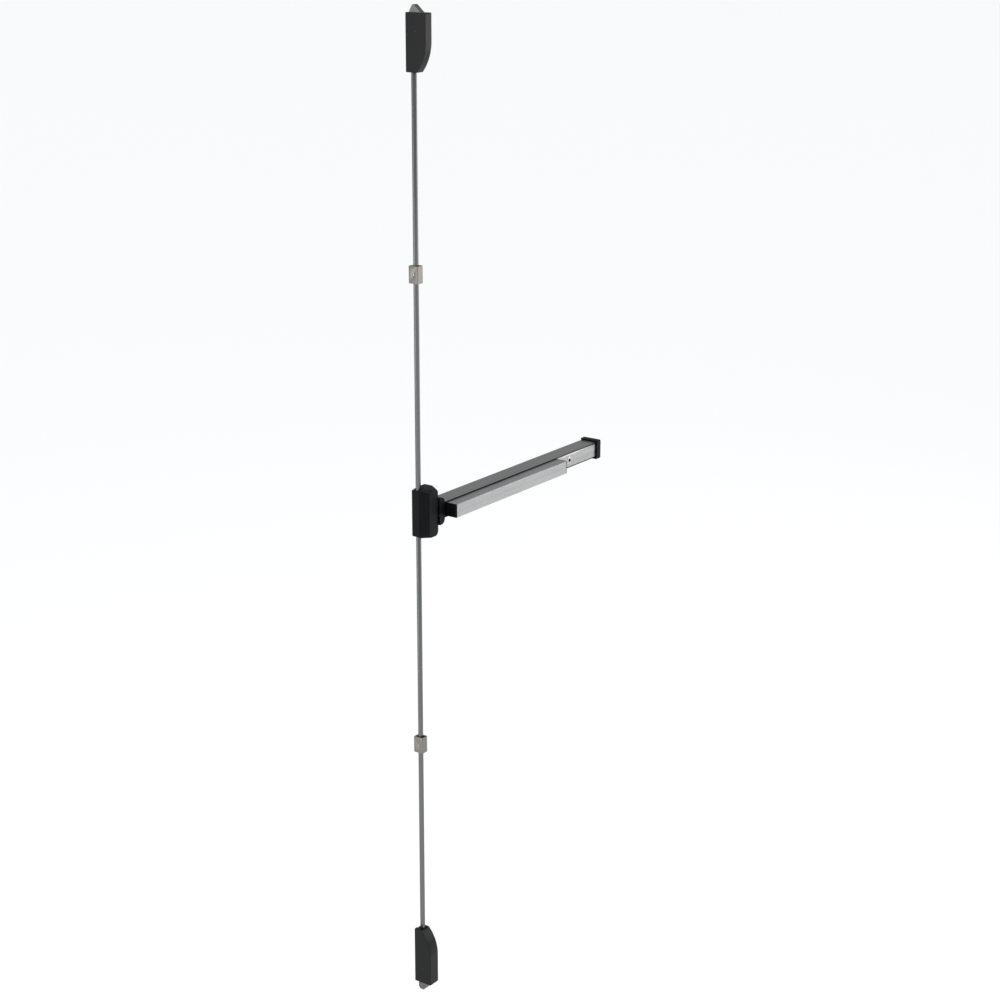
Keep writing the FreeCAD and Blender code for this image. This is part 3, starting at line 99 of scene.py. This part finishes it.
class Finish:
    """A material. Its fixed numbers are set on the shader; patterns are wired in node by node."""

    def __init__(self, name, colour, **fixed):
        self.material = bpy.data.materials.new(name)
        self.material.use_nodes = True
        self.tree = self.material.node_tree
        self.shader = self.tree.nodes["Principled BSDF"]
        self.shader.inputs["Base Color"].default_value = (*colour, 1)
        self.material.diffuse_color = (*colour, 1)
        for word, amount in fixed.items():
            self.shader.inputs[word.replace("_", " ").title().replace("Ior", "IOR")].default_value = amount

    def node(self, kind, settings, sockets, out=0):
        """Adds a node, sets it, then gives its sockets values or links, and returns one of its outputs."""
        made = self.tree.nodes.new(kind)
        for setting, value in settings.items():
            setattr(made, setting, value)
        for socket, value in sockets.items():
            if isinstance(value, Wire):
                self.tree.links.new(value.socket, made.inputs[socket])
            else:
                made.inputs[socket].default_value = value
        return Wire(self, made.outputs[out])

    def feed(self, socket, wire):
        self.tree.links.new(wire.socket, self.shader.inputs[socket])

    def coat(self, socket):
        """What is wired into one of the shader's sockets so far."""
        return Wire(self, self.shader.inputs[socket].links[0].from_socket)

    def place(self, scale):
        """Object coordinates, stretched by a scale for each axis."""
        here = self.node("ShaderNodeTexCoord", {}, {}, "Object")
        return self.node("ShaderNodeMapping", {}, {"Vector": here, "Scale": scale})

    def cloud(self, scale, detail=3.0, roughness=0.5, size=1.0):
        """Noise from 0 to 1 whose grains are 1 / scale metres across on each axis."""
        return self.node("ShaderNodeTexNoise", {}, {
            "Vector": self.place(scale), "Scale": size, "Detail": detail, "Roughness": roughness})

    def step(self, wire, low, high):
        """0 below low, 1 above high, and smooth between."""
        return self.node("ShaderNodeMapRange", {"interpolation_type": "SMOOTHSTEP"}, {
            "Value": wire, "From Min": low, "From Max": high})

    def tint(self, mask, first, second):
        """A colour between two, by a mask; either may be a wire."""
        pair = [shade if isinstance(shade, Wire) else (*shade, 1) for shade in (first, second)]
        return self.node("ShaderNodeMix", {"data_type": "RGBA"}, {0: mask, 6: pair[0], 7: pair[1]}, 2)

    def rise(self, height, distance, strength=1.0):
        """Wires a height pattern, in metres of relief, into the shader's normal."""
        bump = self.node("ShaderNodeBump", {}, {"Height": height, "Distance": distance, "Strength": strength})
        self.feed("Normal", bump)

    def worn(self):
        """1 on the broken edges that softened() marks, 0 elsewhere."""
        return self.node("ShaderNodeAttribute", {"attribute_name": "worn"}, {}, "Fac")


ACROSS, ALONG = 2600, 9  # grains of the lines in a metre, across them and along them


def drawn_metal(name, colour, axis, rough, contrast=0.16, relief=2.5e-5):
    """Metal with fine lines along one axis, as drawing, extruding or belt grinding leaves it."""
    metal = Finish(name, colour, metallic=1.0, roughness=rough)
    scale = [ACROSS] * 3
    scale["XYZ".index(axis)] = ALONG
    lines = metal.cloud(tuple(scale), 2.0, 0.6)
    broad = metal.cloud(tuple(amount / 6 for amount in scale), 2.0)
    patch = metal.cloud((7, 7, 7), 3.0)
    mark = metal.step(lines * 0.65 + broad * 0.35, 0.3, 0.7)
    dark = tuple(shade * (1 - contrast) for shade in colour)
    light = tuple(min(shade * (1 + contrast * 0.6), 1) for shade in colour)
    edge = metal.worn() * metal.step(metal.cloud((160, 160, 160)), 0.4, 0.62)
    bright = tuple(min(shade * 1.25, 1) for shade in colour)
    metal.feed("Base Color", metal.tint(edge * 0.6, metal.tint(mark, dark, light), bright))
    metal.feed("Roughness", rough - 0.06 + mark * 0.09 + patch * 0.06)
    metal.rise(lines, relief)
    return metal


def softened(node, width, wanted=None, sharpest=28):
    """A copy of a CAD solid with its sharp edges broken to a small radius, as any real edge is."""
    form = bmesh.new()
    form.from_mesh(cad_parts[node].data)
    bmesh.ops.remove_doubles(form, verts=form.verts[:], dist=2e-6)
    bmesh.ops.dissolve_limit(form, angle_limit=math.radians(0.4), verts=form.verts[:], edges=form.edges[:])
    return break_edges(form, width, wanted, sharpest)


NARROW = 0.009  # a face less wide than this is taken for a strip of a curve, and shaded smooth
CREASE = math.radians(40)  # edges sharper than this stay sharp in the shading


def break_edges(form, width, wanted=None, sharpest=28):
    """Bevels the sharp edges of a form, marks the new faces as worn, and shades what is curved smooth."""
    worn = form.faces.layers.float.get("worn") or form.faces.layers.float.new("worn")
    chosen = [edge for edge in form.edges
              if len(edge.link_faces) == 2 and edge.calc_face_angle(0) > math.radians(sharpest)
              and (wanted is None or wanted(edge))]
    if chosen:
        made = bmesh.ops.bevel(form, geom=chosen, offset=width, offset_type="OFFSET", affect="EDGES",
                               segments=2, profile=0.5, material=-1, clamp_overlap=False)
        for face in made["faces"]:
            face[worn] = 1.0
    for face in form.faces:
        span = sum(edge.calc_length() for edge in face.edges)
        face.smooth = 2 * face.calc_area() < NARROW * span
    for edge in form.edges:
        edge.smooth = len(edge.link_faces) != 2 or edge.calc_face_angle(0) < CREASE
    return form


def fitted(form, name, finish, body, slot, *nodes):
    """Turns a form into a piece that rides on a body and stands for CAD nodes."""
    mesh = bpy.data.meshes.new(name)
    form.to_mesh(mesh)
    form.free()
    mesh.materials.append(finish.material)
    piece = bpy.data.objects.new(name, mesh)
    bpy.context.scene.collection.objects.link(piece)
    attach(piece, body)
    if nodes:
        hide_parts(*nodes)


channel_grey = drawn_metal("channel grey", (0.31, 0.305, 0.295), "X", 0.42, 0.22)
lip_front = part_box("channel")[0].y  # the finish turns dark on the lips' front edges
depth = channel_grey.node("ShaderNodeSeparateXYZ", {}, {"Vector": channel_grey.place((1, 1, 1))}, "Y")
# Painted shadow: the channel's finish is painted near-black on the lips' front edges, where the gap beside the
# pad and the plate lies in shade.
painted_lip_shadow = channel_grey.step(depth, lip_front + 0.0009, lip_front + 0.0001)
channel_grey.feed("Base Color", channel_grey.tint(painted_lip_shadow, channel_grey.coat("Base Color"), (0.02, 0.02, 0.02)))
fitted(softened("channel", 0.0007), "channel_section", channel_grey, "frame", "channel_grey", "channel")


# ---- cover plate and dogging bushing -----------------------------------------------------------------------
# Between the pad and the end cap a bright brushed plate fills the channel's mouth. A nickel plated bushing is
# riveted into it and leads the hex key to the dogging screw behind.

brushed_silver = drawn_metal("brushed silver", (0.4, 0.4, 0.4), "X", 0.36, 0.2)
fitted(softened("cover_plate", 0.00035), "filler_plate", brushed_silver, "frame", "brushed_silver",
       "cover_plate")


def turned_metal(name, colour, rough):
    """Plated or ground small parts: even, with a faint cloudiness and small nicks."""
    metal = Finish(name, colour, metallic=1.0, roughness=rough)
    cloud = metal.cloud((140, 140, 140), 4.0, 0.6)
    nick = metal.step(metal.cloud((900, 900, 900), 2.0), 0.66, 0.74)
    dark = tuple(shade * 0.82 for shade in colour)
    mottled = metal.tint(metal.step(cloud, 0.35, 0.65), dark, colour)
    metal.feed("Base Color", metal.tint(nick * 0.5, mottled, dark))
    metal.feed("Roughness", rough - 0.05 + cloud * 0.12 + nick * 0.15)
    metal.rise(cloud * 0.6 - nick * 0.4, 3e-5)
    return metal


nickel = turned_metal("bright nickel", (0.62, 0.61, 0.59), 0.2)


def lathed(profile, centre, axis, steps=48):
    """Spins a profile of (distance along the axis, radius) pairs into a closed ring."""
    form = bmesh.new()
    side = Vector((0, 0, 1)) if abs(axis.z) < 0.5 else Vector((1, 0, 0))
    corners = [form.verts.new(centre + axis * along + side * radius) for along, radius in profile]
    edges = [form.edges.new(pair) for pair in zip(corners, corners[1:] + corners[:1])]
    bmesh.ops.spin(form, geom=corners + edges, cent=centre, axis=axis, angle=math.tau, steps=steps,
                   use_merge=True)
    bmesh.ops.remove_doubles(form, verts=form.verts[:], dist=1e-7)
    bmesh.ops.recalc_face_normals(form, faces=form.faces[:])
    return break_edges(form, 0.00012, sharpest=35)


bushing_low, bushing_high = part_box("dogging_bushing")
bushing_centre = Vector(((bushing_low.x + bushing_high.x) / 2, 0, 0))
flange_radius = (bushing_high.x - bushing_low.x) / 2
plate_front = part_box("cover_plate")[0].y
bore, barrel = 0.00425, 0.006  # radii of its hole and of the part behind the plate
ring_profile = [
    (-bushing_high.y, barrel), (-plate_front, barrel), (-plate_front, flange_radius),
    (-bushing_low.y - 0.0005, flange_radius), (-bushing_low.y, flange_radius - 0.0012),
    (-bushing_low.y, bore + 0.0012), (-bushing_low.y - 0.001, bore), (-bushing_high.y, bore)]
# Painted shade: the nickel is painted near-black on the bore's wall, as the deep hole lies in shadow.
around = nickel.node("ShaderNodeMapping", {}, {
    "Vector": nickel.place((1, 0, 1)), "Location": (-bushing_centre.x, 0, 0)})
radius = nickel.node("ShaderNodeVectorMath", {"operation": "LENGTH"}, {0: around}, "Value")
painted_bore_shade = nickel.step(radius, bore + 0.0009, bore + 0.0003)
nickel.feed("Base Color", nickel.tint(painted_bore_shade, nickel.coat("Base Color"), (0.012, 0.012, 0.012)))
fitted(lathed(ring_profile, bushing_centre, Vector((0, -1, 0))), "key_bushing", nickel, "frame",
       "bright_brass", "dogging_bushing")


# ---- the push pad ------------------------------------------------------------------------------------------
# A folded stainless skin that stands out of the channel, ground along its length. A black moulded cap plugs
# into each end of it, and the caps' outer faces carry shallow ribs where a hand may catch.

fitted(softened("push_pad", 0.0003), "pad_skin", brushed_silver, "push_pad", "brushed_silver", "push_pad")


def moulded(name, colour, rough, grain, relief, gloss):
    """Black plastic with a spark eroded grain, a little polished and scuffed on its edges."""
    plastic = Finish(name, colour, roughness=rough, specular_ior_level=gloss)
    fine = plastic.cloud((grain, grain, grain), 3.0, 0.6)
    patch = plastic.cloud((30, 30, 30), 4.0)
    scuff = plastic.step(plastic.cloud((420, 420, 420), 3.0, 0.7), 0.63, 0.72)
    edge = plastic.worn() * plastic.step(plastic.cloud((180, 180, 180)), 0.42, 0.6)
    pale = tuple(shade * 2.3 + 0.004 for shade in colour)
    mask = plastic.node("ShaderNodeMath", {"operation": "MAXIMUM"}, {0: scuff * 0.22, 1: edge * 0.55})
    base = plastic.tint(plastic.step(patch, 0.3, 0.7), tuple(shade * 0.85 for shade in colour), colour)
    plastic.feed("Base Color", plastic.tint(mask, base, pale))
    plastic.feed("Roughness", rough - 0.05 + patch * 0.1 + fine * 0.06 - edge * 0.08)
    plastic.rise(fine, relief)
    return plastic


black_moulding = moulded("black moulding", (0.003, 0.0034, 0.0044), 0.42, 2400, 4.5e-5, 0.1)


RIBS, RIB_PITCH, GROOVE, GROOVE_DEPTH = 6, 0.0048, 0.0021, 0.0006
RIB_START, RIB_MARGIN = 0.006, 0.0045  # plain faces left at the door side and at the grooves' ends


def ribbed_cap(node, outward, name):
    """The cap, with its outer rim broken and a row of grooves let into its face near the channel."""
    low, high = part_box(node)
    face_x = high.x if outward > 0 else low.x
    reach = high.z - RIB_MARGIN
    form = softened(node, 0.0006, lambda edge: all(abs(vert.co.x - face_x) < 1e-6 for vert in edge.verts))
    starts = [high.y - RIB_START - number * RIB_PITCH for number in range(RIBS)]
    planes = [(place, (0, 1, 0)) for start in starts for place in (start, start - GROOVE)]
    planes += [(side * reach, (0, 0, 1)) for side in (-1, 1)]
    for place, normal in planes:
        bmesh.ops.bisect_plane(form, geom=form.verts[:] + form.edges[:] + form.faces[:], dist=1e-7,
                               plane_co=Vector(normal) * place, plane_no=normal)

    def grooved(face):
        middle = face.calc_center_median()
        return (abs(middle.x - face_x) < 1e-6 and abs(middle.z) < reach
                and any(start - GROOVE < middle.y < start for start in starts))

    sunk = bmesh.ops.extrude_discrete_faces(form, faces=[face for face in form.faces if grooved(face)])
    for face in sunk["faces"]:
        bmesh.ops.translate(form, vec=(-outward * GROOVE_DEPTH, 0, 0), verts=face.verts[:])
    bmesh.ops.recalc_face_normals(form, faces=form.faces[:])
    fitted(form, name, black_moulding, "push_pad", "black_moulding", node)


ribbed_cap("pad_cap_lock_side", -1, "pad_end_near_lock")
ribbed_cap("pad_cap_hinge_side", 1, "pad_end_near_hinge")


# ---- cranks, drawbar and their brackets --------------------------------------------------------------------
# Pressed and zinc plated steel parts in the channel: brackets riveted to its back, bell cranks on pins, and the
# flat drawbar that joins them to the centre case. The dogging screw and its hook are here too.


def zinc_plated(name, colour):
    """Zinc plating: a fine crystal pattern and a faint blue and yellow cast."""
    metal = Finish(name, colour, metallic=1.0, roughness=0.36)
    crystal = metal.node("ShaderNodeTexVoronoi", {"feature": "F1"}, {
        "Vector": metal.place((420, 420, 420)), "Scale": 1.0}, "Color")
    cast = metal.cloud((35, 35, 35), 3.0)
    warm = (colour[0] * 1.04, colour[1] * 1.01, colour[2] * 0.9)
    cool = (colour[0] * 0.92, colour[1] * 0.98, colour[2] * 1.06)
    blend = metal.tint(metal.step(cast, 0.35, 0.65), cool, warm)
    metal.feed("Base Color", metal.tint(crystal * 0.25, blend, tuple(shade * 0.8 for shade in colour)))
    metal.feed("Roughness", 0.3 + crystal * 0.12 + cast * 0.08)
    metal.rise(cast + crystal * 0.3, 2e-5)
    return metal


zinc = zinc_plated("zinc plated steel", (0.56, 0.56, 0.55))
ground_steel = turned_metal("ground steel pins", (0.6, 0.6, 0.6), 0.25)
blackened = turned_metal("blackened screws", (0.045, 0.045, 0.05), 0.35)

for node, body in (
        ("crank_bracket_lock_side", "frame"), ("crank_bracket_hinge_side", "frame"),
        ("spring_bracket", "frame"),
        ("dogging_bracket", "frame"), ("crank_lock_side", "crank_lock_side"),
        ("crank_hinge_side", "crank_hinge_side"), ("pad_carrier_lock_side", "push_pad"),
        ("pad_carrier_hinge_side", "push_pad"), ("drawbar", "drawbar"), ("dogging_hook", "dogging")):
    fitted(softened(node, 0.00025), f"{node}_pressing", zinc, body, "zinc_steel", node)
fitted(softened("end_bracket", 0.00025, lambda edge: edge.calc_length() > 0.003), "end_bracket_pressing",
       zinc, "frame", "zinc_steel", "end_bracket")
for node, body in (("pad_pins", "push_pad"), ("crank_pins", "frame"), ("drawbar_pins", "drawbar"),
                   ("spring_guide_rod", "frame")):
    fitted(softened(node, 0.0003), f"{node}_turned", ground_steel, body, "screw_steel", node)
fitted(softened("dogging_screw", 0.0003), "dogging_screw_turned", blackened, "dogging", "screw_steel",
       "dogging_screw")


# ---- springs -----------------------------------------------------------------------------------------------
# Three compression springs of oiled wire: one on the drawbar brings the pad back, and one in each latch pushes
# the bolt out. Each is drawn at rest, between the two ends of the CAD spring it stands for.

oiled_wire = turned_metal("oiled spring wire", (0.3, 0.295, 0.29), 0.3)


def coil_spring(node, axis_number, turns, wire, name, fixed_at_high):
    """Sweeps a small ring round the axis while it climbs, with closed end coils at both ends."""
    low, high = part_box(node)
    middle = (low + high) / 2
    axis, side = Vector((0, 0, 0)), Vector((0, 0, 0))
    axis[axis_number] = 1
    side[1] = -1
    across = axis.cross(side)
    radius = (high[1] - low[1]) / 2 - wire / 2
    base = middle.copy()
    base[axis_number] = low[axis_number] + wire / 2
    form = bmesh.new()
    ring = bmesh.ops.create_circle(form, segments=10, radius=wire / 2)["verts"]
    turn = Matrix((side, axis, across)).transposed().to_4x4()
    bmesh.ops.transform(form, matrix=Matrix.Translation(base + side * radius) @ turn, verts=ring)
    climb = high[axis_number] - low[axis_number] - wire
    steps = 24
    closed = wire * 0.98
    pitch = (climb - 2 * closed) / (turns - 2)
    cursor = ring + list({edge for vert in ring for edge in vert.link_edges})
    for rounds, rise in ((1, closed), (turns - 2, pitch), (1, closed)):
        made = bmesh.ops.spin(form, geom=cursor, cent=base, axis=axis, dvec=axis * (rise / steps),
                              angle=math.tau * rounds, steps=steps * rounds, use_duplicate=False)
        cursor = made["geom_last"]
    bmesh.ops.holes_fill(form, edges=[edge for edge in form.edges if edge.is_boundary])
    bmesh.ops.recalc_face_normals(form, faces=form.faces[:])
    for face in form.faces:
        face.smooth = len(face.verts) == 4
    mesh = bpy.data.meshes.new(name)
    form.to_mesh(mesh)
    form.free()
    mesh.materials.append(oiled_wire.material)
    piece = bpy.data.objects.new(name, mesh)
    bpy.context.scene.collection.objects.link(piece)
    fixed, moving = middle.copy(), middle.copy()
    fixed[axis_number] = (high if fixed_at_high else low)[axis_number]
    moving[axis_number] = (low if fixed_at_high else high)[axis_number]
    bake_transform(piece)
    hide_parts(node)


coil_spring("return_spring", 0, 12, 0.0014, "drawbar_spring_coil", True)
coil_spring("top_bolt_spring", 2, 7, 0.0014, "top_spring_coil", False)
coil_spring("bottom_bolt_spring", 2, 7, 0.0014, "bottom_spring_coil", True)


# ---- the centre case ---------------------------------------------------------------------------------------
# A black moulded cover over a zinc plated base plate. Two levers on headed pins turn the drawbar's pull into
# the rods' stroke. Two screws in the cover's top and bottom walls hold it on the plate. The black screws of the
# latches and the end cap are made here with them.

fitted(softened("centre_case_cover", 0.0005, sharpest=50), "case_moulding", black_moulding, "frame",
       "black_moulding", "centre_case_cover")
fitted(softened("centre_base_plate", 0.0003), "case_back_plate", zinc, "frame", "zinc_steel",
       "centre_base_plate")
fitted(softened("upper_lever", 0.00025), "upper_bell_crank", zinc, "upper_lever", "zinc_steel", "upper_lever")
fitted(softened("lower_lever", 0.00025), "lower_bell_crank", zinc, "lower_lever", "zinc_steel", "lower_lever")
fitted(softened("lever_pivot_pins", 0.0003), "lever_pins", ground_steel, "frame", "screw_steel",
       "lever_pivot_pins")
for node in ("centre_cover_screws", "top_cover_screws", "bottom_cover_screws", "end_cap_screws"):
    fitted(softened(node, 0.0002), f"{node}_turned", blackened, "frame", "dark_screw", node)


# ---- the rods ----------------------------------------------------------------------------------------------
# Drawn steel rods, one up and one down from the case. Each has a threaded end in a carrier block, whose pin its
# lever moves, and another in its latch's connector, with a locknut against each.

rod_steel = drawn_metal("drawn steel rods", (0.17, 0.17, 0.172), "Z", 0.3, 0.14)
for which in ("upper", "lower"):
    body = f"{which}_rods"
    fitted(softened(f"{which}_rod", 0.0006, sharpest=60), f"{which}_rod_bar", rod_steel, body, "rod_steel",
           f"{which}_rod")
    fitted(softened(f"{which}_locknuts", 0.0005), f"{which}_rod_nuts", zinc, body, "zinc_steel",
           f"{which}_locknuts")
    fitted(softened(f"{which}_carrier", 0.0005), f"{which}_rod_carrier", zinc, body, "zinc_steel",
           f"{which}_carrier")


# ---- the rod guides ----------------------------------------------------------------------------------------
# Each rod runs through a black nylon bushing on a small plate. A satin steel sleeve, bent round three sides,
# covers both and is held by a socket screw in each side.

satin_steel = drawn_metal("satin steel sleeve", (0.24, 0.225, 0.205), "Z", 0.42, 0.12)
nylon = moulded("black nylon", (0.008, 0.008, 0.0085), 0.55, 1500, 3e-5, 0.25)
for which in ("upper", "lower"):
    fitted(softened(f"{which}_guide_plate", 0.0003), f"{which}_guide_base", zinc, "frame", "zinc_steel",
           f"{which}_guide_plate")
    fitted(softened(f"{which}_guide_bushing", 0.0005, sharpest=60), f"{which}_guide_block", nylon, "frame",
           "black_nylon", f"{which}_guide_bushing")
    fitted(softened(f"{which}_guide_sleeve", 0.0003), f"{which}_guide_cover", satin_steel, "frame",
           "satin_steel", f"{which}_guide_sleeve")
    fitted(softened(f"{which}_guide_screws", 0.0002), f"{which}_guide_grub_screws", ground_steel, "frame",
           "screw_steel", f"{which}_guide_screws")


# ---- the latches -------------------------------------------------------------------------------------------
# A formed steel frame screwed to the door, with a cast wedge bolt and its stem in it, under a black moulded
# cover. The cover's front curves back towards the door where the rod comes in.

latch_black = moulded("latch moulding", (0.006, 0.0062, 0.0064), 0.36, 2000, 4e-5, 0.2)
bolt_steel = turned_metal("cast bolts", (0.17, 0.17, 0.168), 0.4)
for end, body in (("top", "upper_rods"), ("bottom", "lower_rods")):
    fitted(softened(f"{end}_latch_frame", 0.0003), f"{end}_latch_chassis", zinc, "frame", "zinc_steel",
           f"{end}_latch_frame")
    fitted(softened(f"{end}_latch_cover", 0.0004, sharpest=45), f"{end}_latch_moulding", latch_black, "frame",
           "black_moulding", f"{end}_latch_cover")
    fitted(softened(f"{end}_bolt", 0.0005, lambda edge: edge.calc_length() > 0.006), f"{end}_latch_bolt",
           bolt_steel, body, "bolt_steel", f"{end}_bolt")
    fitted(softened(f"{end}_connector", 0.0006), f"{end}_rod_connector", zinc, body, "zinc_steel",
           f"{end}_connector")


# ---- the end cap -------------------------------------------------------------------------------------------
# A black moulded cap slides over the channel's end and is screwed to an angle bracket inside it.

fitted(softened("end_cap", 0.0006, sharpest=50), "end_moulding", black_moulding, "frame", "black_moulding",
       "end_cap")


# ---- floor, light and camera -------------------------------------------------------------------------------
# A wide white floor below the lower bolt and an even grey sky. A large soft lamp, a tall narrow one and a wide
# soft sun give the light, and the camera has a long lens.

FLOOR_DROP = 0.12  # how far below the object's lowest point the floor lies
floor_form = bmesh.new()
bmesh.ops.create_grid(floor_form, x_segments=1, y_segments=1, size=300)
bmesh.ops.translate(floor_form, vec=(0, 0, cad_low.z - FLOOR_DROP), verts=floor_form.verts[:])
floor_mesh = bpy.data.meshes.new("floor")
floor_form.to_mesh(floor_mesh)
floor_form.free()
floor = bpy.data.objects.new("floor", floor_mesh)
bpy.context.scene.collection.objects.link(floor)
paper = Finish("white floor", (0.86, 0.86, 0.86), roughness=0.9, specular_ior_level=0.1)
floor_mesh.materials.append(paper.material)

world = bpy.data.worlds.new("studio")
bpy.context.scene.world = world
world.use_nodes = True
world.node_tree.nodes["Background"].inputs["Color"].default_value = (0.42, 0.43, 0.44, 1)
world.node_tree.nodes["Background"].inputs["Strength"].default_value = 1.0


def lamp(name, place, target, size, power):
    """A square soft lamp that points at a target."""
    light = bpy.data.lights.new(name, "AREA")
    light.size, light.energy = size, power
    carrier = bpy.data.objects.new(name, light)
    carrier.location = place
    carrier.rotation_euler = (Vector(target) - Vector(place)).to_track_quat("-Z", "Y").to_euler()
    bpy.context.scene.collection.objects.link(carrier)
    return carrier


lamp("key", (3.4, -2.9, 0.7), (0, 0, 0.1), 2.4, 48)
strip = lamp("strip", (-2.9, 1.35, 0.3), (0, 0, 0.1), 0.5, 26)
strip.data.shape, strip.data.size_y = "RECTANGLE", 3.0

sky = bpy.data.lights.new("sky", "SUN")
sky.energy, sky.angle = 2.3, math.radians(70)
sky_carrier = bpy.data.objects.new("sky", sky)
sky_carrier.rotation_euler = (math.radians(10), math.radians(-14), 0)
bpy.context.scene.collection.objects.link(sky_carrier)

YAW, PITCH, ROLL = math.radians(35.522), math.radians(16.886), math.radians(0.0887)
eye = bpy.data.cameras.new("eye")
eye.lens, eye.sensor_width, eye.clip_end = 75.33, 36, 2000
camera = bpy.data.objects.new("eye", eye)
camera.location = (-3.8020, -2.9688, 1.4943)
ahead = Vector((math.cos(YAW) * math.cos(PITCH), math.sin(YAW) * math.cos(PITCH), -math.sin(PITCH)))
level = Vector((math.sin(YAW), -math.cos(YAW), 0))
above = level.cross(ahead)
right = level * math.cos(ROLL) + above * math.sin(ROLL)
camera.rotation_mode = "QUATERNION"
camera.rotation_quaternion = Matrix((right, right.cross(ahead), -ahead)).transposed().to_quaternion()
bpy.context.scene.collection.objects.link(camera)
bpy.context.scene.camera = camera
bpy.context.scene.view_settings.view_transform = "Standard"
